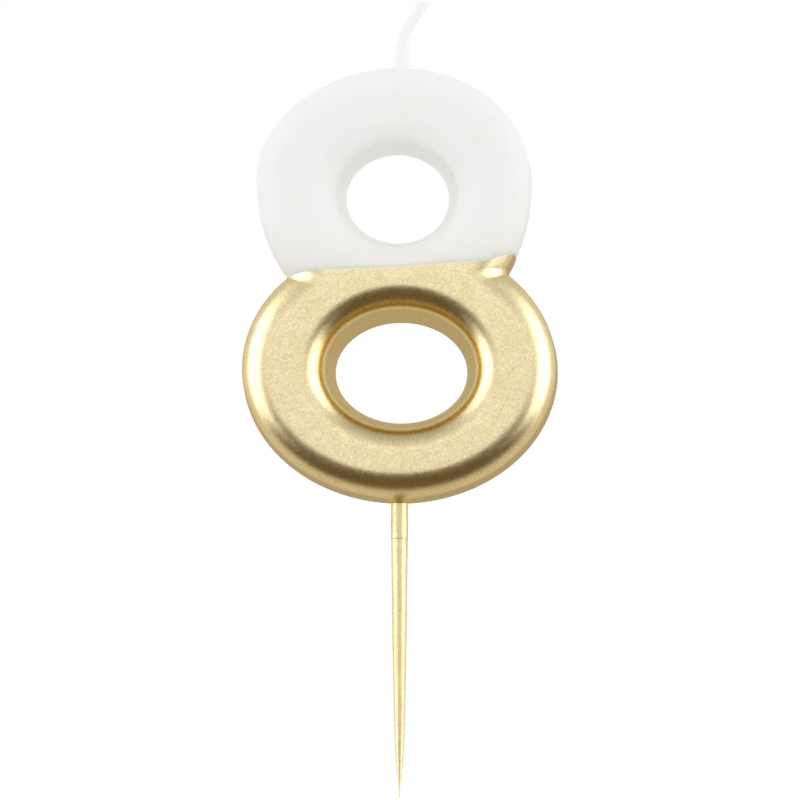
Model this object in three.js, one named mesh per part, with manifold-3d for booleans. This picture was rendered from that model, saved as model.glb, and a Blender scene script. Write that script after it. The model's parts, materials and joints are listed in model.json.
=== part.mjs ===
// A number birthday candle: the numeral 8 cast in white wax, its lower half dipped in gold lacquer,
// with a braided wick at the crown and a gold pick below. Millimetres, +Z up, front towards -Y.
// The origin is where the pick leaves the wax, which is where the candle meets the icing.
import * as THREE from 'three';
import { mergeVertices } from 'three/addons/utils/BufferGeometryUtils.js';
import Module from 'manifold-3d';

// The cast numeral. Its back is flat, because it is poured in an open mould, face down.
const WAX_FRONT_Y = -4.85;
const WAX_BACK_Y = 4.85;
const EDGE_WIDTH = 3.3;
const EDGE_DEPTH = 6.5;
const EDGE_STEPS = 6;

// The lower bulb is an ellipse. The upper one is flatter over the crown than below, and leans left.
const LOWER_BULB = { x: 0, z: 16, halfWidth: 18.95, halfHeight: 15.75 };
const UPPER_BULB = { z: 38.7, halfWidth: 16.6, above: 13.65, below: 18.6, lean: -0.7 };
const WAIST_Z = 27.5;
const WAIST_ROUNDING = THREE.MathUtils.degToRad(1.6);
const LOWER_HOLE = { x: 0.15, z: 15.95, halfWidth: 8, halfHeight: 6.15 };
const UPPER_HOLE = { x: -0.3, z: 37, halfWidth: 6.2, halfHeight: 5.35 };
const BULB_POINTS = 46;
const HOLE_POINTS = 36;

// The lacquer skin, and the air left between it and the wax so that the two solids stay apart.
const FIT_GAP = 0.05;
const SKIN = 0.1;
const DIP_Z = 28.15;
const DIP_TILT = THREE.MathUtils.degToRad(4.6);
const COLLAR_LENGTH = 4.3;

// The pick is a round stick, blunt inside the wax, with a long taper to its point.
const PICK_RADIUS = 0.98;
const PICK_EMBEDDED = 7;
const PICK_SHANK_END_Z = -5;
const PICK_TIP_Z = -35.3;
const ROUND_SIDES = 24;

// The wick is a flat braid, primed with wax. Outside the crown it leans, then bends once more.
const WICK_WIDTH = 1.2;
const WICK_THICKNESS = 0.9;
const WICK_ROOT = { x: 0.15, z: 53.1 };
const WICK_KINK = { x: 0.6, z: 56.7 };
const WICK_END = { x: 2.9, z: 60.4 };
const BEND_GAP = 0.12;
const WICK_STEPS = 26;

// Longer than any part of the candle, for the blocks that cut it.
const BEYOND = 120;

const wasm = await Module();
wasm.setup();

function solidOf(geometry) {
  const bare = geometry.clone();
  bare.deleteAttribute('normal');
  bare.deleteAttribute('uv');
  const merged = mergeVertices(bare, 1e-5);
  return new wasm.Manifold(new wasm.Mesh({
    numProp: 3,
    vertProperties: new Float32Array(merged.attributes.position.array),
    triVerts: new Uint32Array(merged.index.array),
  }));
}

function geometryOf(solid) {
  const mesh = solid.getMesh();
  const geometry = new THREE.BufferGeometry();
  geometry.setAttribute('position', new THREE.BufferAttribute(mesh.vertProperties, 3));
  geometry.setIndex(new THREE.BufferAttribute(mesh.triVerts, 1));
  geometry.computeVertexNormals();
  return geometry;
}

function block(lowX, lowY, lowZ, highX, highY, highZ) {
  const box = new THREE.BoxGeometry(highX - lowX, highY - lowY, highZ - lowZ);
  return box.translate((lowX + highX) / 2, (lowY + highY) / 2, (lowZ + highZ) / 2);
}

// A round post along Z.
function post(radius, lowZ, highZ) {
  const rod = new THREE.CylinderGeometry(radius, radius, highZ - lowZ, ROUND_SIDES);
  return rod.rotateX(Math.PI / 2).translate(0, 0, (lowZ + highZ) / 2);
}

// ---- The numeral's outline, drawn in x and z ----

function lowerBulbPoint(angle) {
  return new THREE.Vector2(
    LOWER_BULB.x + LOWER_BULB.halfWidth * Math.cos(angle),
    LOWER_BULB.z + LOWER_BULB.halfHeight * Math.sin(angle),
  );
}

function upperBulbPoint(angle) {
  const across = Math.cos(angle);
  const up = Math.sin(angle);
  const height = up > 0 ? UPPER_BULB.above : UPPER_BULB.below;
  return new THREE.Vector2(
    UPPER_BULB.lean * across ** 2 + UPPER_BULB.halfWidth * across,
    UPPER_BULB.z + height * up,
  );
}

function arcPoints(pointAt, from, to) {
  const points = [];
  for (let i = 0; i <= BULB_POINTS; i++) {
    points.push(pointAt(THREE.MathUtils.lerp(from, to, i / BULB_POINTS)));
  }
  return points;
}

function holePath({ x, z, halfWidth, halfHeight }) {
  const ellipse = new THREE.EllipseCurve(x, z, halfWidth, halfHeight, 0, 2 * Math.PI);
  return new THREE.Path(ellipse.getPoints(HOLE_POINTS).slice(0, -1));
}

function numeralShape() {
  const lowerTurn = Math.asin((WAIST_Z - LOWER_BULB.z) / LOWER_BULB.halfHeight);
  const upperTurn = Math.asin((UPPER_BULB.z - WAIST_Z) / UPPER_BULB.below);
  const lowerEnd = lowerTurn - WAIST_ROUNDING;
  const upperEnd = upperTurn - WAIST_ROUNDING;
  const lower = arcPoints(lowerBulbPoint, Math.PI - lowerEnd, 2 * Math.PI + lowerEnd);
  const upper = arcPoints(upperBulbPoint, -upperEnd, Math.PI + upperEnd);
  const points = [
    ...lower,
    lowerBulbPoint(lowerTurn),
    ...upper,
    lowerBulbPoint(Math.PI - lowerTurn),
  ];
  const shape = new THREE.Shape(points);
  shape.holes.push(holePath(LOWER_HOLE), holePath(UPPER_HOLE));
  return shape;
}

// The numeral, with every surface moved outwards by grow: a rounded front edge and a flat back.
function numeral(grow) {
  const thickness = WAX_BACK_Y - WAX_FRONT_Y + 2 * grow;
  const straight = thickness - EDGE_DEPTH;
  const spare = 2;
  const slab = new THREE.ExtrudeGeometry(numeralShape(), {
    depth: straight + spare,
    bevelThickness: EDGE_DEPTH,
    bevelSize: EDGE_WIDTH,
    bevelOffset: grow - EDGE_WIDTH,
    bevelSegments: EDGE_STEPS,
  });
  slab.rotateX(Math.PI / 2).translate(0, straight + spare + EDGE_DEPTH + WAX_FRONT_Y - grow, 0);
  const inFront = block(-BEYOND, -BEYOND, -BEYOND, BEYOND, WAX_BACK_Y + grow, BEYOND);
  return solidOf(slab).intersect(solidOf(inFront));
}

// ---- The wick ----

// Inside the wax, from low beside the upper hole to the crown.
const wickRoute = new THREE.CatmullRomCurve3([
  new THREE.Vector3(5.2, 0, 28.6),
  new THREE.Vector3(8.6, 0, 31.4),
  new THREE.Vector3(10.6, 0, 36.5),
  new THREE.Vector3(9.2, 0, 42.6),
  new THREE.Vector3(5.2, 0, 47.2),
  new THREE.Vector3(1.4, 0, 50.2),
  new THREE.Vector3(WICK_ROOT.x, 0, WICK_ROOT.z),
]);

function wickBand(grow) {
  const halfWidth = WICK_WIDTH / 2 + grow;
  const halfThickness = WICK_THICKNESS / 2 + grow;
  const section = new THREE.Shape();
  section.absellipse(0, 0, halfThickness, halfWidth, 0, 2 * Math.PI);
  return solidOf(new THREE.ExtrudeGeometry(section, {
    extrudePath: wickRoute,
    steps: WICK_STEPS,
    curveSegments: 5,
    bevelEnabled: false,
  }));
}

// A free length of wick, flat across Y: a round knuckle at its lower end, and at its upper end
// either a hollow that the next length turns in or a plain cut.
function wickLength(from, to, hollow) {
  const length = Math.hypot(to.x - from.x, to.z - from.z);
  const half = WICK_WIDTH / 2;
  const reach = half + BEND_GAP;
  const shape = new THREE.Shape();
  shape.absarc(0, 0, half, Math.PI, 2 * Math.PI);
  if (hollow) {
    const side = Math.acos(half / reach);
    shape.absarc(0, length, reach, -side, Math.PI + side, true);
  } else {
    shape.lineTo(half, length - half);
    shape.lineTo(-half, length);
  }
  const geometry = new THREE.ExtrudeGeometry(shape, {
    depth: WICK_THICKNESS,
    curveSegments: 8,
    bevelEnabled: false,
  });
  return geometry.rotateX(Math.PI / 2).translate(0, WICK_THICKNESS / 2, 0);
}

function leanOf(from, to) {
  return Math.atan2(to.x - from.x, to.z - from.z);
}

// ---- The pieces ----

function waxBody() {
  const socket = post(PICK_RADIUS + FIT_GAP, -1, PICK_EMBEDDED + FIT_GAP);
  return geometryOf(numeral(0).subtract(solidOf(socket)).subtract(wickBand(FIT_GAP)));
}

function goldDip() {
  const below = block(-BEYOND, -BEYOND, -BEYOND, BEYOND, BEYOND, 0);
  below.rotateY(-DIP_TILT).translate(0, 0, DIP_Z);
  const collar = post(PICK_RADIUS + FIT_GAP + SKIN, -COLLAR_LENGTH, 1);
  const bore = post(PICK_RADIUS + FIT_GAP, -COLLAR_LENGTH - 1, 2);
  const skin = numeral(FIT_GAP + SKIN).add(solidOf(collar)).subtract(numeral(FIT_GAP));
  return geometryOf(skin.subtract(solidOf(bore)).intersect(solidOf(below)));
}

function pickStick() {
  const profile = [
    [0, PICK_EMBEDDED],
    [PICK_RADIUS - 0.25, PICK_EMBEDDED],
    [PICK_RADIUS, PICK_EMBEDDED - 0.25],
    [PICK_RADIUS, PICK_SHANK_END_Z],
    [0.85, -16.4],
    [0.7, -23.6],
    [0.58, -28.4],
    [0.4, -30.8],
    [0.21, -32.8],
    [0, PICK_TIP_Z],
  ];
  const points = profile.map(([radius, z]) => new THREE.Vector2(radius, z));
  return new THREE.LatheGeometry(points.reverse(), ROUND_SIDES).rotateX(Math.PI / 2);
}

function wickCore() {
  const knuckle = new THREE.CylinderGeometry(
    WICK_WIDTH / 2 + BEND_GAP, WICK_WIDTH / 2 + BEND_GAP, 2 * WICK_THICKNESS, ROUND_SIDES,
  ).translate(WICK_ROOT.x, 0, WICK_ROOT.z);
  return geometryOf(wickBand(0).subtract(solidOf(knuckle)));
}

function piece(name, geometry, material) {
  const mesh = new THREE.Mesh(geometry, material);
  mesh.name = name;
  return mesh;
}

const wax = new THREE.MeshStandardMaterial({ color: '#f0f0ec', roughness: 0.45, metalness: 0 });
const lacquer = new THREE.MeshStandardMaterial({ color: '#d9c07a', roughness: 0.35, metalness: 0.9 });
const gilt = new THREE.MeshStandardMaterial({ color: '#cdb061', roughness: 0.45, metalness: 0.7 });
const cotton = new THREE.MeshStandardMaterial({ color: '#f5f5f7', roughness: 0.8, metalness: 0 });

const candle = new THREE.Group();
candle.add(piece('wax_body', waxBody(), wax));
candle.add(piece('gold_dip', goldDip(), lacquer));
candle.add(piece('pick', pickStick(), gilt));
candle.add(piece('wick_core', wickCore(), cotton));

const stub = piece('wick_stub', wickLength(WICK_ROOT, WICK_KINK, true), cotton);
stub.position.set(WICK_ROOT.x, 0, WICK_ROOT.z);
stub.rotation.y = leanOf(WICK_ROOT, WICK_KINK);
candle.add(stub);

const tip = piece('wick_tip', wickLength(WICK_KINK, WICK_END, false), cotton);
tip.position.set(WICK_KINK.x, 0, WICK_KINK.z);
tip.rotation.y = leanOf(WICK_KINK, WICK_END);
candle.add(tip);

export default candle;
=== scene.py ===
import json
import math

import bmesh
import bpy
import numpy as np
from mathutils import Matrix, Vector
from mathutils.geometry import delaunay_2d_cdt

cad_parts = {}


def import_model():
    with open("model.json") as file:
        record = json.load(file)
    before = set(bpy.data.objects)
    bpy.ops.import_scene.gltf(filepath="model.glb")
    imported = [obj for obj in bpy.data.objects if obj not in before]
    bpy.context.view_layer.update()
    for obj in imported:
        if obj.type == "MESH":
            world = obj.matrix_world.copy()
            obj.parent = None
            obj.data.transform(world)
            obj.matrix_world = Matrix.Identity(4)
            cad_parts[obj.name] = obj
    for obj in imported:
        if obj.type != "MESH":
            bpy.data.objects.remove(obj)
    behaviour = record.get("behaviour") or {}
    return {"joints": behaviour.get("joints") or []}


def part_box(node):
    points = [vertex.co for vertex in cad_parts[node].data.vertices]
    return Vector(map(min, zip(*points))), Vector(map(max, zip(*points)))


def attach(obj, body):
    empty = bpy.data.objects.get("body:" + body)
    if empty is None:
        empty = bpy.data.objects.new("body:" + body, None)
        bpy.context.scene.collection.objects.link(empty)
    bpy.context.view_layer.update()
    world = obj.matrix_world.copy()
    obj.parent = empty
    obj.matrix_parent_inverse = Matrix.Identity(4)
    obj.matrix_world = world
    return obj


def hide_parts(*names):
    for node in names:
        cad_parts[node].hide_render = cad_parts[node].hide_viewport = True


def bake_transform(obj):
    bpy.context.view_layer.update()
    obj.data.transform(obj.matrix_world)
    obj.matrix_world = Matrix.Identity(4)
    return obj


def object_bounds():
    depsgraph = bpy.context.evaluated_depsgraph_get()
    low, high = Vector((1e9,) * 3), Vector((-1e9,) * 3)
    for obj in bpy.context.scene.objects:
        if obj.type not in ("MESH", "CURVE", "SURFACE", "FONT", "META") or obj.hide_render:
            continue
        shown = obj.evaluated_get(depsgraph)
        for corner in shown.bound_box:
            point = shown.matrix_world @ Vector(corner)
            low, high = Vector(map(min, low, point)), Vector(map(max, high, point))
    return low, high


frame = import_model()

CAD_BOX = [list(corner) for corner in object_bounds()]
MM = 0.001

# ---- Sizes taken from the frame, in millimetres ----

WAX_LOW, WAX_HIGH = (np.array(corner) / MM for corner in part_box("wax_body"))
GOLD_LOW = np.array(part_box("gold_dip")[0]) / MM
PICK_LOW, PICK_HIGH = (np.array(corner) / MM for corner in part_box("pick"))
HINGES = {joint["name"]: np.array(joint["pos_m"]) / MM for joint in frame["joints"]}
WICK_ROOT = HINGES["wick_root"]
WICK_KINK = HINGES["wick_kink"]

# ---- The numeral: two bulbs, drawn in x and z ----

LOWER_HALF_WIDTH = WAX_HIGH[0]
LOWER_CENTRE_Z = 16.0
LOWER_HALF_HEIGHT = LOWER_CENTRE_Z - WAX_LOW[2]
UPPER_CENTRE_Z = 38.7
UPPER_HALF_WIDTH = 16.6
UPPER_ABOVE = WAX_HIGH[2] - UPPER_CENTRE_Z
UPPER_BELOW = 18.6
UPPER_LEAN = -0.7
LOWER_HOLE = (0.15, 15.95, 8.0, 6.15)
UPPER_HOLE = (-0.3, 37.0, 6.2, 5.35)

# The edge seen in section: a small round at the back, a drafted wall, then a round shoulder.
OUTER_SHOULDER, OUTER_DRAFT = 3.2, math.radians(1.5)
HOLE_SHOULDER, HOLE_DRAFT = 3.0, math.radians(8.7)
BACK_ROUND = 0.35
BACK_STEPS, SHOULDER_STEPS = 6, 26

# How far the lacquer film stands off the wax.
FILM = 0.06
# The gap between an outline's points, and the smaller gap within reach of the pick or the wick.
SPACING = 0.3
FINE_SPACING = 0.09
FINE_REACH = 1.7

# The two waist corners are tight at the outline and rounder further in, where the shoulder widens.
WAIST_Z = 27.4
WAIST_ROUNDING, ROUNDING_GROWTH = 0.45, 0.25
WAIST_WIDENING, WAIST_REACH = 0.22, 3.5
# Roughly where the bulbs meet: the angle on the lower one, then on the upper one.
RIGHT_CORNER, LEFT_CORNER = (0.82, -0.65), (2.32, 3.79)
CORNER_STEPS = 10
CORNER_POINTS = 18
HOLE_POINTS = 180


def lower_bulb(angle):
    return np.stack([
        LOWER_HALF_WIDTH * np.cos(angle),
        LOWER_CENTRE_Z + LOWER_HALF_HEIGHT * np.sin(angle),
    ], axis=-1)


def upper_bulb(angle):
    across, up = np.cos(angle), np.sin(angle)
    height = np.where(up > 0, UPPER_ABOVE, UPPER_BELOW)
    return np.stack([
        UPPER_LEAN * across**2 + UPPER_HALF_WIDTH * across,
        UPPER_CENTRE_Z + height * up,
    ], axis=-1)


def inward_normals(curve, angle, step=1e-3):
    """Unit normals into the material of a curve drawn anticlockwise."""
    tangent = curve(angle + step) - curve(angle - step)
    tangent /= np.linalg.norm(tangent, axis=-1, keepdims=True)
    return np.stack([-tangent[..., 1], tangent[..., 0]], axis=-1)


def moved_in(bulb, angle, depth):
    """Points of a bulb's outline, moved depth into the wax, and further near the waist."""
    point = bulb(angle)
    widened = 1 + WAIST_WIDENING * np.exp(-((point[..., 1] - WAIST_Z) / WAIST_REACH) ** 2)
    return point + (depth * widened)[..., None] * inward_normals(bulb, angle)


def waist_corner(depth, start):
    """The circle that joins the two bulbs at a corner: its centre, and each bulb's angle there."""
    angles = np.array(start)
    short = depth - WAIST_ROUNDING - ROUNDING_GROWTH * depth
    step = 1e-5
    for _ in range(CORNER_STEPS):
        low, high = moved_in(lower_bulb, angles[0], short), moved_in(upper_bulb, angles[1], short)
        low_way = (moved_in(lower_bulb, angles[0] + step, short) - low) / step
        high_way = (moved_in(upper_bulb, angles[1] + step, short) - high) / step
        angles -= np.linalg.solve(np.stack([low_way, -high_way], axis=1), low - high)
    return (low + high) / 2, angles[0], angles[1]


def corner_arc(centre, start, end):
    """Points on the waist circle, turning clockwise from one bulb to the other."""
    first = math.atan2(*(start - centre)[::-1])
    last = math.atan2(*(end - centre)[::-1])
    if last > first:
        last -= 2 * math.pi
    share = np.linspace(0, 1, CORNER_POINTS)[1:-1]
    turn = first + share * (last - first)
    radius = np.linalg.norm(start - centre) * (1 - share) + np.linalg.norm(end - centre) * share
    return centre + radius[:, None] * np.stack([np.cos(turn), np.sin(turn)], axis=1)


# A little more than the length of each bulb's outline. They set how many points it gets.
LOWER_LENGTH, UPPER_LENGTH = 86, 78


def shares(length):
    """Places along a bulb's outline from 0 to 1, closer together in the middle of its length."""
    along = np.linspace(-length / 2, length / 2, 4000)
    density = np.where(np.abs(along) < FINE_REACH, 1 / FINE_SPACING, 1 / SPACING)
    total = np.cumsum(density)
    total = (total - total[0]) / (total[-1] - total[0])
    count = int(length / SPACING + 2 * FINE_REACH / FINE_SPACING)
    return np.interp(np.linspace(0, 1, count), total, np.linspace(0, 1, len(along)))


LOWER_SHARES, UPPER_SHARES = shares(LOWER_LENGTH), shares(UPPER_LENGTH)


def outline(depth):
    """The numeral's closed outline, anticlockwise, moved depth into the wax."""
    right, low_right, high_right = waist_corner(depth, RIGHT_CORNER)
    left, low_left, high_left = waist_corner(depth, LEFT_CORNER)
    low = low_left + (low_right + 2 * math.pi - low_left) * LOWER_SHARES
    high = high_right + (high_left - high_right) * UPPER_SHARES
    low, high = moved_in(lower_bulb, low, depth), moved_in(upper_bulb, high, depth)
    return np.concatenate([
        low, corner_arc(right, low[-1], high[0]),
        high, corner_arc(left, high[-1], low[0]),
    ])


def hole(x, z, half_width, half_height):
    """A hole's outline, clockwise, with its normals pointing into the material."""
    turn = -np.linspace(0, 2 * math.pi, HOLE_POINTS, endpoint=False)
    points = np.stack([x + half_width * np.cos(turn), z + half_height * np.sin(turn)], axis=1)
    normals = np.stack([np.cos(turn) / half_width, np.sin(turn) / half_height], axis=1)
    normals /= np.linalg.norm(normals, axis=1, keepdims=True)
    return points, normals


def edge_section(shoulder, draft, grow):
    """(distance into the material, y) from the back face round to the front one."""
    back, front = WAX_HIGH[1] + grow, WAX_LOW[1] - grow
    section = []
    for turn in np.linspace(math.pi / 2, 0, BACK_STEPS):
        section.append((BACK_ROUND * (1 - math.cos(turn)), back - BACK_ROUND * (1 - math.sin(turn))))
    wall_front = front + shoulder * (1 - math.sin(draft))
    wall_back = back - BACK_ROUND
    # The rows are closest in the middle of the thickness, where the pick and the wick stand.
    coarse = np.arange(wall_back - 0.35, 1.5, -0.35)
    fine = np.arange(1.4, -1.4, -0.1)
    rest = np.arange(-1.5, wall_front + 0.15, -0.3)
    for y in np.concatenate([coarse, fine, rest]):
        section.append((math.tan(draft) * (wall_back - y), y))
    middle = math.tan(draft) * (wall_back - wall_front) + shoulder * math.cos(draft)
    for turn in np.linspace(math.pi / 2 - draft, 0, SHOULDER_STEPS):
        section.append((middle - shoulder * math.sin(turn), front + shoulder * (1 - math.cos(turn))))
    return section


# ---- Where the gold ends ----

DIP_MIDDLE_Z = 28.08
DIP_SLOPE = 0.058
DIP_CURVE = 0.0018
# How far the edge sweeps at the corners, from how far out, and over what distance.
CORNER_SWEEP = 0.55
SWEEP_FROM, SWEEP_OVER = 10.5, 3
# Just below its edge the film is finely divided, in rows.
DIP_BAND = 1.2
DIP_ROW = 0.24


def smooth_step(t):
    t = np.clip(t, 0, 1)
    return t * t * (3 - 2 * t)


def dip_height(x, y):
    """The height of the film's upper edge: it sweeps up to the right corner and down to the left."""
    wander = 0.04 * np.sin(0.55 * x + 0.3 * y) + 0.015 * np.sin(1.7 * x - 0.5 * y + 1)
    sweep = CORNER_SWEEP * np.sign(x) * smooth_step((np.abs(x) - SWEEP_FROM) / SWEEP_OVER)
    return DIP_MIDDLE_Z + DIP_SLOPE * x + DIP_CURVE * x**2 + sweep + wander


def dip_band_points(low_x, high_x, y, spacing=0.3):
    """Close rows of points along the film's edge, so that it can thin out evenly."""
    x = np.arange(low_x, high_x, spacing)
    rows = []
    for below in np.arange(0.01, DIP_BAND, DIP_ROW):
        rows.append(np.column_stack([x, dip_height(x, y) - below]))
    return np.concatenate(rows)


class Shell:
    """Points and faces of one surface, gathered loop by loop."""

    def __init__(self):
        self.points, self.faces, self.count = [], [], 0

    def add(self, points):
        start = self.count
        self.points.append(points)
        self.count += len(points)
        return start

    def wall(self, loops):
        starts = [self.add(loop) for loop in loops]
        n = len(loops[0])
        for a, b in zip(starts, starts[1:]):
            for i in range(n):
                j = (i + 1) % n
                self.faces.append((a + i, a + j, b + j, b + i))

    def cap(self, loops, y, spacing=0.75):
        """Fills the flat face between closed loops, the outer one first, with even triangles."""
        loops = [np.asarray(loop) for loop in loops]
        low, high = loops[0].min(0), loops[0].max(0)
        xs, zs = np.meshgrid(np.arange(low[0], high[0], spacing), np.arange(low[1], high[1], spacing))
        xs[1::2] += spacing / 2
        inner = np.column_stack([xs.ravel(), zs.ravel()])
        inner = inner[np.abs(dip_height(inner[:, 0], y) - inner[:, 1]) > DIP_BAND + spacing / 3]
        inner = np.concatenate([inner, dip_band_points(low[0], high[0], y)])
        inner = inner[inside(inner, loops)]
        near = np.min([distance_to(inner, loop) for loop in loops], axis=0)
        inner = inner[near > spacing * 0.3]
        edges, start = [], 0
        for loop in loops:
            n = len(loop)
            edges += [(start + i, start + (i + 1) % n) for i in range(n)]
            start += n
        flat = np.concatenate([*loops, inner])
        made = delaunay_2d_cdt([Vector(p) for p in flat.tolist()], edges, [], 0, 1e-7)
        points = np.array([list(p) for p in made[0]])
        triangles = np.array([list(t) for t in made[2]])
        kept = triangles[inside(points[triangles].mean(1), loops)]
        at = self.add(np.column_stack([points[:, 0], np.full(len(points), y), points[:, 1]]))
        self.faces += [tuple(int(at + i) for i in t) for t in kept]


def inside(points, loops):
    """Which points lie in the first loop and in none of the others."""
    crossings = np.zeros(len(points), int)
    for loop in loops:
        a, b = loop, np.roll(loop, -1, axis=0)
        for (ax, az), (bx, bz) in zip(a, b):
            spans = (az > points[:, 1]) != (bz > points[:, 1])
            if az != bz:
                crossing = ax + (points[:, 1] - az) * (bx - ax) / (bz - az)
                crossings += spans & (points[:, 0] < crossing)
    return crossings % 2 == 1


def distance_to(points, loop):
    """How far each point is from the nearest point of a loop."""
    out = np.full(len(points), 1e9)
    for part in np.array_split(loop, max(1, len(loop) // 100)):
        gap = np.linalg.norm(points[:, None] - part[None], axis=2).min(1)
        out = np.minimum(out, gap)
    return out


def smooth_but_for_corners(mesh):
    mesh.shade_smooth()
    mesh.set_sharp_from_angle(angle=math.radians(50))


def mesh_object(name, points, faces, replaced):
    """A smooth-shaded closed mesh from points in millimetres."""
    mesh = bpy.data.meshes.new(name)
    mesh.from_pydata((np.asarray(points) * MM).tolist(), [], faces)
    welded = bmesh.new()
    welded.from_mesh(mesh)
    bmesh.ops.remove_doubles(welded, verts=welded.verts, dist=2e-7)
    loose = [v for v in welded.verts if not v.link_faces]
    bmesh.ops.delete(welded, geom=loose, context="VERTS")
    bmesh.ops.recalc_face_normals(welded, faces=welded.faces)
    welded.to_mesh(mesh)
    welded.free()
    smooth_but_for_corners(mesh)
    made = bpy.data.objects.new(name, mesh)
    bpy.context.scene.collection.objects.link(made)
    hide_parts(*replaced)
    return made


HOLES = [hole(*LOWER_HOLE), hole(*UPPER_HOLE)]


def level(flat, y):
    """A loop drawn in x and z, set at depth y."""
    return np.column_stack([flat[:, 0], np.full(len(flat), y), flat[:, 1]])


def numeral(grow):
    """The closed surface of the numeral, every face moved out by grow."""
    section = edge_section(OUTER_SHOULDER, OUTER_DRAFT, grow)
    rims = [[level(outline(depth - grow), y) for depth, y in section]]
    section = edge_section(HOLE_SHOULDER, HOLE_DRAFT, grow)
    for points, normals in HOLES:
        rims.append([level(points + (depth - grow) * normals, y) for depth, y in section])
    shell = Shell()
    for loops in rims:
        shell.wall(loops)
    shell.cap([loops[0][:, [0, 2]] for loops in rims], WAX_HIGH[1] + grow)
    shell.cap([loops[-1][:, [0, 2]] for loops in rims], WAX_LOW[1] - grow)
    return np.concatenate(shell.points), shell.faces


# ---- Materials ----

class Nodes:
    """The node tree of a material or a world, with short calls for the nodes used here."""

    def __init__(self, owner, shader="Principled BSDF", coordinates="Object"):
        owner.use_nodes = True
        self.owner = owner
        self.tree = owner.node_tree
        self.shader = self.tree.nodes[shader]
        self.place = self.tree.nodes.new("ShaderNodeTexCoord").outputs[coordinates]

    def link(self, source, target):
        self.tree.links.new(source, target)

    def noise(self, scale, detail=3.0, roughness=0.5, stretch=None):
        node = self.tree.nodes.new("ShaderNodeTexNoise")
        node.inputs["Scale"].default_value = scale
        node.inputs["Detail"].default_value = detail
        node.inputs["Roughness"].default_value = roughness
        self.link(self.stretched(stretch), node.inputs["Vector"])
        return node.outputs["Fac"]

    def cells(self, scale):
        """The distance to the nearest of many scattered points."""
        node = self.tree.nodes.new("ShaderNodeTexVoronoi")
        node.inputs["Scale"].default_value = scale
        self.link(self.place, node.inputs["Vector"])
        return node.outputs["Distance"]

    def stretched(self, stretch):
        if stretch is None:
            return self.place
        node = self.tree.nodes.new("ShaderNodeMapping")
        node.inputs["Scale"].default_value = stretch
        self.link(self.place, node.inputs["Vector"])
        return node.outputs["Vector"]

    def maths(self, operation, a, b=None):
        node = self.tree.nodes.new("ShaderNodeMath")
        node.operation = operation
        for value, target in zip((a, b), node.inputs):
            if value is None:
                continue
            if isinstance(value, (int, float)):
                target.default_value = value
            else:
                self.link(value, target)
        return node.outputs[0]

    def ranged(self, value, from_low, from_high, to_low, to_high):
        node = self.tree.nodes.new("ShaderNodeMapRange")
        for name, number in (("From Min", from_low), ("From Max", from_high),
                             ("To Min", to_low), ("To Max", to_high)):
            node.inputs[name].default_value = number
        self.link(value, node.inputs["Value"])
        return node.outputs["Result"]

    def eased(self, value, start, end):
        """0 before start and 1 after end, with a soft change between them."""
        node = self.ranged(value, start, end, 0, 1).node
        node.interpolation_type = "SMOOTHSTEP"
        return node.outputs["Result"]

    def mix(self, amount, a, b):
        node = self.tree.nodes.new("ShaderNodeMix")
        node.data_type = "RGBA"
        self.link(amount, node.inputs["Factor"])
        for value, name in ((a, "A"), (b, "B")):
            target = [s for s in node.inputs if s.name == name and s.type == "RGBA"][0]
            if isinstance(value, tuple):
                target.default_value = (*value, 1)
            else:
                self.link(value, target)
        return [s for s in node.outputs if s.type == "RGBA"][0]

    def attribute(self, name):
        node = self.tree.nodes.new("ShaderNodeAttribute")
        node.attribute_name = name
        return node.outputs["Fac"]

    def ramp(self, value, stops):
        """A colour that eases through (place, colour) stops as value goes from 0 to 1."""
        node = self.tree.nodes.new("ShaderNodeValToRGB")
        node.color_ramp.interpolation = "EASE"
        ends = node.color_ramp.elements
        while len(ends) < len(stops):
            ends.new(0.5)
        for end, (where, colour) in zip(ends, stops):
            end.position = where
            end.color = (*colour, 1)
        self.link(value, node.inputs["Fac"])
        return node.outputs["Color"]

    def scaled(self, colour, factor):
        node = self.tree.nodes.new("ShaderNodeVectorMath")
        node.operation = "SCALE"
        self.link(colour, node.inputs[0])
        self.link(factor, node.inputs["Scale"])
        return node.outputs["Vector"]

    def parts(self, vector):
        node = self.tree.nodes.new("ShaderNodeSeparateXYZ")
        self.link(vector, node.inputs["Vector"])
        return node.outputs

    def bump(self, height, strength, distance, onto=None):
        node = self.tree.nodes.new("ShaderNodeBump")
        node.inputs["Strength"].default_value = strength
        node.inputs["Distance"].default_value = distance
        self.link(height, node.inputs["Height"])
        if onto is not None:
            self.link(onto, node.inputs["Normal"])
        return node.outputs["Normal"]

    def set(self, **values):
        for name, value in values.items():
            self.shader.inputs[name.replace("_", " ")].default_value = value


def new_material(name):
    return Nodes(bpy.data.materials.new(name))


WAX_DULL, WAX_WHITE = (0.93, 0.93, 0.905), (0.945, 0.945, 0.925)
# Painted shade: darker, warmer wax just above the gold, fading out towards the upper hole.
WAX_PAINTED_SHADE = (0.895, 0.885, 0.835)
# Painted shade inside the pinholes.
PINHOLE_SHADE = (0.62, 0.62, 0.56)


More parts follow.
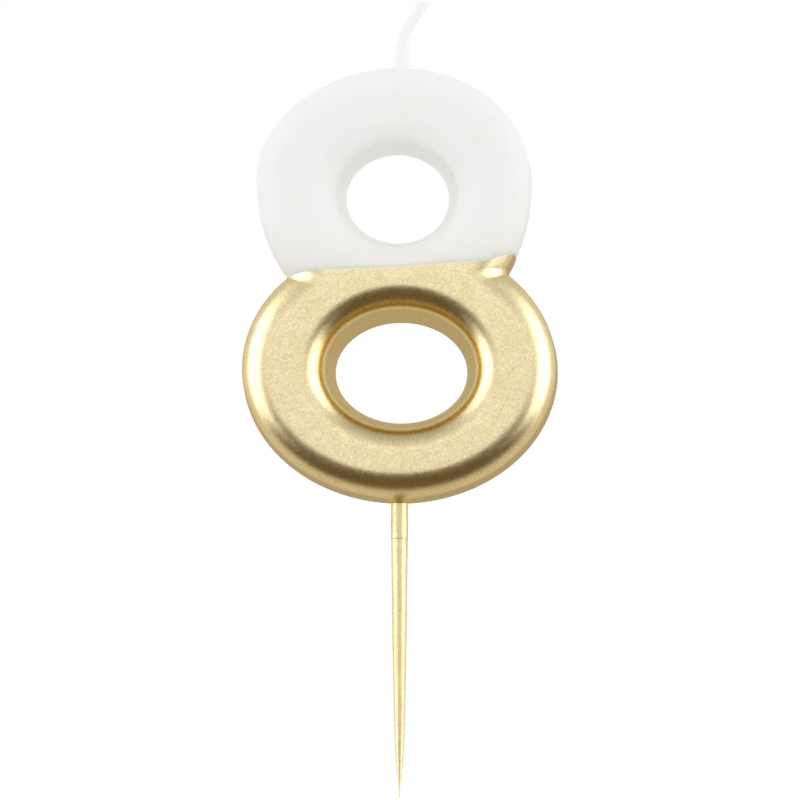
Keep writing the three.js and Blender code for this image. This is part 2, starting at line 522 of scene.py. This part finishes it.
def wax_material():
    """White paraffin with a few pinholes. It is painted darker and warmer just above the gold as
    painted shade, and the pinholes are painted darker as shade inside them.
    """
    m = new_material("white_wax")
    m.set(IOR=1.44, Subsurface_Weight=0.6, Subsurface_Radius=(1.0, 1.0, 1.1), Subsurface_Scale=0.0018)
    cloud = m.noise(180, 4)
    tone = m.mix(m.ranged(cloud, 0.35, 0.65, 0, 1), WAX_DULL, WAX_WHITE)
    height = m.parts(m.place)["Z"]
    # Painted shade: the wax is darker and warmer just above the gold.
    tone = m.mix(m.eased(height, 0.0265, 0.034), WAX_PAINTED_SHADE, tone)
    pinhole = m.ranged(m.cells(420), 0.0, 0.10, 1, 0)
    rare = m.ranged(m.noise(150, 0), 0.62, 0.66, 0, 1)
    pits = m.maths("MULTIPLY", pinhole, rare)
    # The pits are painted darker: painted shade inside them.
    tone = m.mix(m.maths("MULTIPLY", pits, 0.35), tone, PINHOLE_SHADE)
    m.link(tone, m.shader.inputs["Base Color"])
    m.link(m.ranged(m.noise(900, 3), 0.3, 0.7, 0.42, 0.56), m.shader.inputs["Roughness"])
    skin = m.bump(m.noise(350, 3), 0.2, 0.0001)
    fine = m.bump(m.noise(2600, 2), 0.12, 0.00003, skin)
    m.link(m.bump(m.maths("SUBTRACT", 1.0, pits), 0.5, 0.0001, fine), m.shader.inputs["Normal"])
    return m.owner


GOLD_PALE, GOLD_DEEP = (0.80, 0.69, 0.42), (0.765, 0.645, 0.365)
# Painted reflection: the deep orange of gold reflecting gold in the crease round the lower hole.
GOLD_CREASE_REFLECTION = (0.70, 0.48, 0.135)
# The film's colour where it is too thin to look like gold, and the height over which it thins out.
FEATHER_TONE = (0.86, 0.83, 0.74)
FADE = 0.25


def lacquer_material():
    """Fine gold flakes in clear lacquer, painted deeper orange in the crease round the lower hole as a
    painted reflection of gold in gold. The film thins out to bare wax along its upper edge.
    """
    m = new_material("gold_lacquer")
    m.set(Coat_Weight=0.4, Coat_Roughness=0.25, Coat_IOR=1.5, Specular_Tint=(1.0, 0.80, 0.45, 1))
    cloud = m.ranged(m.noise(260, 4, 0.6), 0.3, 0.7, 0, 1)
    grain = m.ranged(m.noise(4200, 3, 0.8), 0.3, 0.7, 0.76, 1.2)
    # Painted reflection: the colour deepens to orange in the crease round the lower hole.
    film = m.mix(m.attribute("painted_crease_reflection"), m.mix(cloud, GOLD_PALE, GOLD_DEEP), GOLD_CREASE_REFLECTION)
    gold = m.scaled(film, grain)
    ragged = m.maths("MULTIPLY_ADD", m.noise(2600, 3, 0.7), 0.16)
    m.link(m.attribute("below_dip"), ragged.node.inputs[2])
    cover = m.ranged(ragged, 0.08, 0.08 + FADE, 0, 1)
    m.link(m.mix(cover, FEATHER_TONE, gold), m.shader.inputs["Base Color"])
    m.link(cover, m.shader.inputs["Metallic"])
    m.link(m.ranged(m.noise(1800, 3), 0.3, 0.7, 0.27, 0.34), m.shader.inputs["Roughness"])
    peel = m.bump(m.noise(700, 2), 0.12, 0.00004)
    m.link(m.bump(m.noise(5200, 2, 0.7), 0.4, 0.00003, peel), m.shader.inputs["Normal"])
    return m.owner


GILT_PALE, GILT_DEEP = (0.83, 0.72, 0.42), (0.74, 0.59, 0.30)
GILT_WORN = (0.45, 0.30, 0.14)


def gilt_material():
    """Thin gold paint over turned wood, streaky along the grain and mottled brown near the wax."""
    m = new_material("gilded_wood")
    m.set(Metallic=0.65, Coat_Weight=0.3, Coat_Roughness=0.3)
    streak = m.noise(60, 5, 0.6, (22, 22, 1.4))
    blotch = m.ranged(m.noise(2200, 4, 0.75), 0.32, 0.68, 0.84, 1.08)
    tone = m.mix(m.ranged(streak, 0.35, 0.65, 0, 1), GILT_PALE, GILT_DEEP)
    near_wax = m.ranged(m.parts(m.place)["Z"], -0.006, -0.004, 0.15, 0.7)
    mottle = m.maths("MULTIPLY", m.eased(m.noise(1500, 3, 0.7), 0.56, 0.68), near_wax)
    tone = m.mix(mottle, m.scaled(tone, blotch), GILT_WORN)
    m.link(tone, m.shader.inputs["Base Color"])
    m.link(m.ranged(m.noise(2000, 3), 0.3, 0.7, 0.34, 0.46), m.shader.inputs["Roughness"])
    grain = m.bump(streak, 0.5, 0.00008)
    m.link(m.bump(m.noise(4000, 2), 0.35, 0.00003, grain), m.shader.inputs["Normal"])
    return m.owner


def cotton_material():
    """Braided cotton, stiff with wax."""
    m = new_material("waxed_cotton")
    fibre = m.noise(900, 4, 0.6, (3, 3, 0.7))
    tone = m.mix(m.ranged(fibre, 0.3, 0.7, 0, 1), (0.955, 0.955, 0.96), (0.975, 0.975, 0.98))
    m.link(tone, m.shader.inputs["Base Color"])
    m.link(m.ranged(fibre, 0.3, 0.7, 0.45, 0.6), m.shader.inputs["Roughness"])
    m.link(m.bump(fibre, 0.3, 0.00004), m.shader.inputs["Normal"])
    return m.owner


# ---- The wax body ----

# Only points this near the stick are moved.
FILLET_LIMIT = 6


def rise_round(points, centre_x, half, height, reach, limit):
    """How far the surface is drawn along a stick that stands in it, for points past the limit."""
    across = (points[:, 0] - centre_x) / half[0]
    deep = points[:, 1] / half[1]
    gap = (np.hypot(across, deep) - 1) * min(half)
    rise = height * np.exp(-np.clip(gap, 0, None) / reach)
    side = points[:, 2] > limit if height > 0 else points[:, 2] < limit
    return np.where(side & (gap < FILLET_LIMIT), rise, 0)


WICK_HALF = (0.67, 0.48)
PICK_RADIUS = PICK_HIGH[0]
# How far the wax climbs the wick, how quickly that dies away, and above what height.
WICK_FILLET = (0.3, 0.5, WAX_HIGH[2] - 2)
# The same for wax and lacquer that reach down the pick, below a height.
PICK_FILLET = (-0.42, 1.1, 2)


def wax_body():
    points, faces = numeral(0)
    points[:, 2] += rise_round(points, WICK_ROOT[0], WICK_HALF, *WICK_FILLET)
    points[:, 2] += rise_round(points, 0, (PICK_RADIUS, PICK_RADIUS), *PICK_FILLET)
    body = mesh_object("wax_body_casting", points, faces, ["wax_body"])
    body.data.materials.append(wax_material())
    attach(body, "root")


# ---- The lacquer: a film over the lower bulb, and its lap on the pick ----

# Over this height below its edge, the film comes down to FILM_EDGE off the wax.
FILM_TAPER = 1.1
FILM_EDGE = 0.015
# The film's solid is a little thicker than its stand, so that it reaches into the wax.
FILM_DEPTH = 1.3 * FILM


def below_dip(vertex):
    return dip_height(vertex.co.x / MM, vertex.co.y / MM) - vertex.co.z / MM


def gold_film(lacquer):
    points, faces = numeral(FILM)
    points[:, 2] += rise_round(points, 0, (PICK_RADIUS, PICK_RADIUS), *PICK_FILLET)
    film = mesh_object("gold_dip_film", points, faces, ["gold_dip"])
    cut = bmesh.new()
    cut.from_mesh(film.data)
    for vertex in cut.verts:
        vertex.co.z = -below_dip(vertex) * MM
    everything = list(cut.verts) + list(cut.edges) + list(cut.faces)
    bmesh.ops.bisect_plane(cut, geom=everything, plane_co=(0, 0, 0), plane_no=(0, 0, 1),
                           clear_outer=True)
    for vertex in cut.verts:
        vertex.co.z += dip_height(vertex.co.x / MM, vertex.co.y / MM) * MM
    cut.normal_update()
    for vertex in cut.verts:
        thinned = (FILM - FILM_EDGE) * (1 - smooth_step(below_dip(vertex) / FILM_TAPER))
        vertex.co -= vertex.normal * float(thinned) * MM
    cut.to_mesh(film.data)
    cut.free()
    thick = film.modifiers.new("film", "SOLIDIFY")
    thick.thickness = FILM_DEPTH * MM
    thick.offset = -1
    bpy.context.view_layer.objects.active = film
    bpy.ops.object.modifier_apply(modifier=thick.name)
    smooth_but_for_corners(film.data)
    mark_dip(film)
    mark_crease_reflection(film)
    film.data.materials.append(lacquer)
    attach(film, "root")


def mark_dip(made):
    """Stores how far each point lies below the dip's edge, in millimetres."""
    depth = made.data.attributes.new("below_dip", "FLOAT", "POINT")
    depth.data.foreach_set("value", [float(below_dip(vertex)) for vertex in made.data.vertices])


# The lacquer is painted deeper orange in the crease round the lower hole, a painted reflection of gold
# in gold: at this depth, and within this width of it.
CREASE_Y, CREASE_WIDTH = -3.65, 0.5
# The crease follows an oval this far outside the hole. Further out by this factor, none is painted.
CREASE_OUT, CREASE_LIMIT = 1.6, 1.35


def painted_crease_reflection(vertex):
    """How much painted reflection deepens the lacquer's colour: 1 at the crease round the hole."""
    x, z, half_width, half_height = LOWER_HOLE
    across = (vertex.co.x / MM - x) / (half_width + CREASE_OUT)
    up = (vertex.co.z / MM - z) / (half_height + CREASE_OUT)
    if math.hypot(across, up) > CREASE_LIMIT:
        return 0.0
    return math.exp(-((vertex.co.y / MM - CREASE_Y) / CREASE_WIDTH) ** 2)


def mark_crease_reflection(made):
    """Stores each point's share of the painted crease reflection."""
    crease_share = made.data.attributes.new("painted_crease_reflection", "FLOAT", "POINT")
    crease_share.data.foreach_set("value", [painted_crease_reflection(vertex) for vertex in made.data.vertices])


def turned(profile, sides=48):
    """A closed surface of revolution about z from (radius, z), whose two ends are closed."""
    turn = np.linspace(0, 2 * math.pi, sides, endpoint=False)
    points, faces = [], []
    for radius, z in profile:
        points += [(radius * math.cos(t), radius * math.sin(t), z) for t in turn]
    for k in range(len(profile) - 1):
        for i in range(sides):
            j = (i + 1) % sides
            faces.append((k * sides + i, k * sides + j, (k + 1) * sides + j, (k + 1) * sides + i))
    faces.append(tuple(range(sides)))
    faces.append(tuple(range((len(profile) - 1) * sides, len(profile) * sides)))
    return np.array(points), faces


COLLAR_LOW = GOLD_LOW[2]


def pick_radius(z):
    """The stick's radius: a straight shank that tapers slowly, then comes to a point."""
    heights = [PICK_LOW[2], -34.6, -32.8, -30.8, -28.4, -23.6, -16.4, COLLAR_LOW - 0.7, 8]
    radii = [0.03, 0.08, 0.24, 0.41, 0.58, 0.7, 0.85, PICK_RADIUS, PICK_RADIUS]
    return np.interp(z, heights, radii)


def pick(gilt):
    heights = np.concatenate([np.arange(PICK_LOW[2], -30, 0.2), np.arange(-30, PICK_HIGH[2], 0.4)])
    profile = [(pick_radius(z), z) for z in heights] + [(PICK_RADIUS - 0.2, PICK_HIGH[2])]
    points, faces = turned(profile)
    turn = np.arctan2(points[:, 1], points[:, 0])
    # The stick isn't quite round.
    uneven = 1 + 0.012 * np.sin(3 * turn + 0.12 * points[:, 2])
    uneven += 0.008 * np.sin(7 * turn - 0.3 * points[:, 2])
    points[:, :2] *= np.minimum(uneven, 1.0)[:, None]
    stick = mesh_object("pick_stick", points, faces, ["pick"])
    stick.data.materials.append(gilt)
    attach(stick, "root")


def pick_lap(gilt):
    """The lacquer on the pick is so thin that the gilded wood shows through it."""
    inner, outer = PICK_RADIUS - 0.05, PICK_RADIUS + 0.035
    profile = [
        (inner, 0.6), (outer, 0.6), (outer, COLLAR_LOW + 0.15),
        (outer - 0.01, COLLAR_LOW + 0.05), (inner + 0.02, COLLAR_LOW), (inner, COLLAR_LOW + 0.02),
    ]
    points, faces = turned(profile)
    low = points[:, 2] < COLLAR_LOW + 0.3
    points[low, 2] += 0.08 * np.sin(np.arctan2(points[low, 1], points[low, 0]) + 0.6)
    lap = mesh_object("gold_dip_lap", points, faces, ["gold_dip"])
    lap.data.materials.append(gilt)
    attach(lap, "root")


# ---- The wick: three strands braided flat ----

WICK_END = np.array([2.9, 0.0, 60.4])
# Where the middle line starts, from the root hinge: inside the wax.
WICK_START = np.array([-0.05, 0, -2.2])
WICK_ROWS = 400
KINK_SMOOTHING = 24
# The middle line runs on past the cut by this share of the last length, so the cut is whole.
WICK_SPARE = 0.25


def wick_line():
    """The free wick's middle line, from inside the wax to its cut end."""
    below = WICK_ROOT + WICK_START
    beyond = WICK_END + WICK_SPARE * (WICK_END - WICK_KINK)
    knots = np.array([below, WICK_ROOT, WICK_KINK, beyond])
    t = np.linspace(0, 1, WICK_ROWS)
    lengths = np.linalg.norm(np.diff(knots, axis=0), axis=1)
    along = np.concatenate([[0], np.cumsum(lengths)]) / lengths.sum()
    line = np.stack([np.interp(t, along, knots[:, k]) for k in range(3)], axis=1)
    for _ in range(KINK_SMOOTHING):
        line[1:-1] = (line[:-2] + 2 * line[1:-1] + line[2:]) / 4
    return line, lengths.sum()


# The wax that fills the grooves of the braid.
GROOVE_HALF = (0.97 * WICK_HALF[0], 0.97 * WICK_HALF[1])
STRAND_PITCH = 3.0
STRAND_HALF = (0.34, 0.26)
# How far a strand swings from side to side, and from front to back.
BRAID_SWING = (0.29, 0.2)
# The outline is a soft maximum of the strands' radii: its power, and what it is divided by.
STRAND_SOFTNESS, STRAND_FULLNESS = 14, 1.6
# Wax widens the wick at the crown, by this much over this height.
SKIRT, SKIRT_REACH = 0.55, 1.8
WICK_SIDES = 72
# The cut end is a plane: its height at the x of WICK_END, and its slope in x.
WICK_CUT_Z, WICK_CUT_SLOPE = 60.44, -0.1
CROWN_Z = WAX_HIGH[2]


def reach_of_strand(turn, centre):
    """How far a strand's oval section reaches from the wick's middle in the direction turn."""
    across, deep = np.cos(turn) / STRAND_HALF[0], np.sin(turn) / STRAND_HALF[1]
    cx, cy = centre[0] / STRAND_HALF[0], centre[1] / STRAND_HALF[1]
    a = across**2 + deep**2
    b = across * cx + deep * cy
    inside_root = b**2 - a * (cx**2 + cy**2 - 1)
    return np.where(inside_root > 0, (b + np.sqrt(np.clip(inside_root, 0, None))) / a, 0)


def braid_section(turn, along):
    """Radii of the wick's section: three crossing strands with wax in the grooves between them."""
    across, deep = np.cos(turn) / GROOVE_HALF[0], np.sin(turn) / GROOVE_HALF[1]
    wax = 1 / np.sqrt(across**2 + deep**2)
    radii = [wax]
    for k in range(3):
        phase = 2 * math.pi * (along / STRAND_PITCH + k / 3)
        centre = (BRAID_SWING[0] * math.sin(phase), BRAID_SWING[1] * math.sin(2 * phase))
        radii.append(reach_of_strand(turn, centre))
    total = sum(radius**STRAND_SOFTNESS for radius in radii)
    return (total / STRAND_FULLNESS) ** (1 / STRAND_SOFTNESS)


def braid(name, first, last, replaced, cotton):
    """The waxed braid between two shares of the wick's length, with closed ends."""
    line, length = wick_line()
    n = len(line)
    tangent = np.gradient(line, axis=0)
    tangent /= np.linalg.norm(tangent, axis=1, keepdims=True)
    turn = np.linspace(0, 2 * math.pi, WICK_SIDES, endpoint=False)
    rows = range(int(first * (n - 1)), int(last * (n - 1)) + 1)
    points, faces = [], []
    cut = np.full((WICK_SIDES, 3), np.nan)
    for row in rows:
        across = np.array([tangent[row, 2], 0, -tangent[row, 0]])
        skirt = 1 + SKIRT / WICK_HALF[0] * math.exp(-max(0, line[row, 2] - CROWN_Z) / SKIRT_REACH)
        radius = braid_section(turn, length * row / (n - 1)) * skirt
        ring = (line[row] + across * (radius * np.cos(turn))[:, None]
                + np.array([0, 1, 0]) * (radius * np.sin(turn))[:, None])
        over = ring[:, 2] - WICK_CUT_Z - WICK_CUT_SLOPE * (ring[:, 0] - WICK_END[0])
        back = over / (tangent[row, 2] - WICK_CUT_SLOPE * tangent[row, 0])
        reached = np.isnan(cut[:, 0]) & (over > 0)
        cut[reached] = (ring - tangent[row] * back[:, None])[reached]
        ended = ~np.isnan(cut[:, 0])
        ring[ended] = cut[ended]
        points.append(ring)
        if ended.all():
            break
    for k in range(len(points) - 1):
        for i in range(WICK_SIDES):
            j = (i + 1) % WICK_SIDES
            start, above = k * WICK_SIDES, (k + 1) * WICK_SIDES
            faces.append((start + i, start + j, above + j, above + i))
    faces.append(tuple(range(WICK_SIDES)))
    faces.append(tuple(range((len(points) - 1) * WICK_SIDES, len(points) * WICK_SIDES)))
    made = mesh_object(name, np.concatenate(points), faces, replaced)
    made.data.materials.append(cotton)
    return made


def wick(cotton):
    line, _ = wick_line()
    middle = (WICK_ROOT + WICK_KINK) / 2
    share = float(np.argmin(np.linalg.norm(line - middle, axis=1))) / (len(line) - 1)
    lower = braid("wick_braid_lower", 0, share, ["wick_core", "wick_stub"], cotton)
    upper = braid("wick_braid_upper", share, 1, ["wick_tip"], cotton)
    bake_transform(lower)
    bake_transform(upper)


# ---- Camera, floor and light ----

FRAME_WIDTH = 96.0
SENSOR_WIDTH = 36
CAMERA_DISTANCE = 900.0
CAMERA_BELOW = math.radians(4.2)
CAMERA_YAW = math.radians(1.2)
# How far right of and below the middle of the part the camera looks.
AIM_RIGHT, AIM_BELOW = 0.06, 0.33


def camera():
    low, high = (np.array(corner) / MM for corner in CAD_BOX)
    target = np.array([AIM_RIGHT, 0, (low[2] + high[2]) / 2 - AIM_BELOW])
    back = np.array([
        math.sin(CAMERA_YAW) * math.cos(CAMERA_BELOW),
        -math.cos(CAMERA_YAW) * math.cos(CAMERA_BELOW),
        -math.sin(CAMERA_BELOW),
    ])
    data = bpy.data.cameras.new("camera")
    data.sensor_width = SENSOR_WIDTH
    data.lens = SENSOR_WIDTH * CAMERA_DISTANCE / FRAME_WIDTH
    data.clip_start, data.clip_end = 0.01, 20
    made = bpy.data.objects.new("camera", data)
    made.location = (target + back * CAMERA_DISTANCE) * MM
    made.rotation_mode = "QUATERNION"
    made.rotation_quaternion = Vector(-back).to_track_quat("-Z", "Y")
    bpy.context.scene.collection.objects.link(made)
    bpy.context.scene.camera = made


def floor():
    mesh = bpy.data.meshes.new("floor")
    half, height = 4.0, -0.115
    corners = [(x, y, height) for x, y in ((-half, -half), (half, -half), (half, half), (-half, half))]
    mesh.from_pydata(corners, [], [(0, 1, 2, 3)])
    made = bpy.data.objects.new("floor", mesh)
    bpy.context.scene.collection.objects.link(made)
    m = new_material("pale_floor")
    m.set(Base_Color=(0.88, 0.88, 0.87, 1), Roughness=0.9)
    made.data.materials.append(m.owner)
    made.visible_glossy = False


# What polished surfaces reflect, from straight below, 0, to straight above, 1: in front, behind,
# straight behind, and in the bright windows at both sides.
FRONT_GLOW = [(0.0, (0.19, 0.125, 0.055)), (0.40, (0.16, 0.11, 0.058)), (0.48, (1.32, 1.32, 1.31)),
              (0.62, (1.34, 1.34, 1.33)), (0.8, (0.85, 0.85, 0.84)), (1.0, (0.6, 0.57, 0.5))]
BACK_GLOW = [(0.0, (0.78, 0.70, 0.54)), (0.40, (0.84, 0.80, 0.70)), (0.5, (0.95, 0.93, 0.88)),
             (0.7, (0.9, 0.9, 0.88)), (1.0, (0.6, 0.57, 0.5))]
FAR_GLOW = (0.48, 0.45, 0.36)
SIDE_GLOW = (2.8, 2.8, 2.78)
# What lights matt surfaces.
SOFT_GLOW = [(0.0, (0.81, 0.81, 0.79)), (0.40, (0.89, 0.89, 0.87)), (0.55, (0.98, 0.98, 0.98)),
             (1.0, (0.84, 0.84, 0.84))]


def world():
    """White where the camera looks at it. What lights the candle is bright in front and dark below."""
    w = Nodes(bpy.data.worlds.new("studio"), "Background", "Generated")
    bpy.context.scene.world = w.owner
    sideways, backwards, upwards = w.parts(w.place)
    height = w.ranged(upwards, -1, 1, 0, 1)
    behind = w.eased(backwards, -0.35, 0.15)
    around = w.mix(behind, w.ramp(height, FRONT_GLOW), w.ramp(height, BACK_GLOW))
    around = w.mix(w.eased(backwards, 0.72, 0.96), around, FAR_GLOW)
    beside = w.maths("ABSOLUTE", sideways)
    # A little darker between the front and the windows.
    between = w.maths("MULTIPLY", w.eased(beside, 0.1, 0.42), w.eased(backwards, 0.1, -0.3))
    around = w.scaled(around, w.ranged(between, 0, 1, 1, 0.8))
    # A window to each side, which ends above and below.
    window = w.maths("MULTIPLY", w.eased(beside, 0.5, 0.76), w.eased(backwards, 0.25, -0.05))
    window = w.maths("MULTIPLY", window, w.eased(upwards, -0.55, -0.15))
    window = w.maths("MULTIPLY", window, w.eased(upwards, 0.85, 0.5))
    reflected = w.mix(window, around, SIDE_GLOW)
    full = w.maths("MAXIMUM", w.ranged(beside, 0, 1, 0.97, 1.22),
                   w.ranged(backwards, 0, 1, 0.97, 1.22))
    soft = w.scaled(w.ramp(height, SOFT_GLOW), full)
    path = w.tree.nodes.new("ShaderNodeLightPath")
    lit = w.mix(path.outputs["Is Glossy Ray"], soft, reflected)
    w.link(w.mix(path.outputs["Is Camera Ray"], lit, (1.0, 1.0, 1.0)), w.shader.inputs["Color"])


def studio():
    bpy.context.scene.view_settings.view_transform = "Standard"
    world()


camera()
floor()
studio()
gilt = gilt_material()
wax_body()
gold_film(lacquer_material())
pick(gilt)
pick_lap(gilt)
wick(cotton_material())
